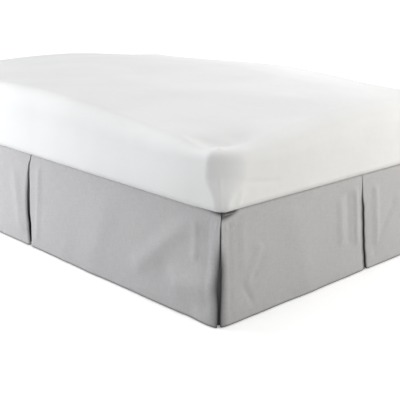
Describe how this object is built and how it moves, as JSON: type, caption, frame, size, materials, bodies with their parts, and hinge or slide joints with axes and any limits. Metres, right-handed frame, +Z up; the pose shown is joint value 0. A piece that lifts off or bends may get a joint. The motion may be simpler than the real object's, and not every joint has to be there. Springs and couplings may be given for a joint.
{
  "type": "bed skirt hung on a plain bed with its mattress",
  "caption": "Tailored grey bed skirt with inverted box pleats and split corners, hung between a plain mattress and its foundation.",
  "frame": {"origin": "on the floor under the bed's centre, at the middle of the centre leg's foot", "axes": "+Z up, +Y from the foot of the bed to its open head end, +X to the right seen from the foot"},
  "size_m": [1.5675, 2.0658, 0.6251],
  "materials": {
    "skirt_cloth": "light grey heathered linen weave, matt",
    "sheeting": "white cotton sheeting, matt",
    "ticking": "cream woven ticking, matt",
    "leg_plastic": "black moulded plastic"
  },
  "bodies": {
    "root": {"deck": "skirt_cloth", "side_drop_left": "skirt_cloth", "side_drop_right": "skirt_cloth", "foot_drop": "skirt_cloth", "corner_insert_left": "skirt_cloth", "corner_insert_right": "skirt_cloth", "mattress": "sheeting", "foundation": "ticking", "leg_1": "leg_plastic", "leg_2": "leg_plastic", "leg_3": "leg_plastic", "leg_4": "leg_plastic", "leg_5": "leg_plastic", "leg_6": "leg_plastic", "leg_7": "leg_plastic"}
  },
  "joints": []
}
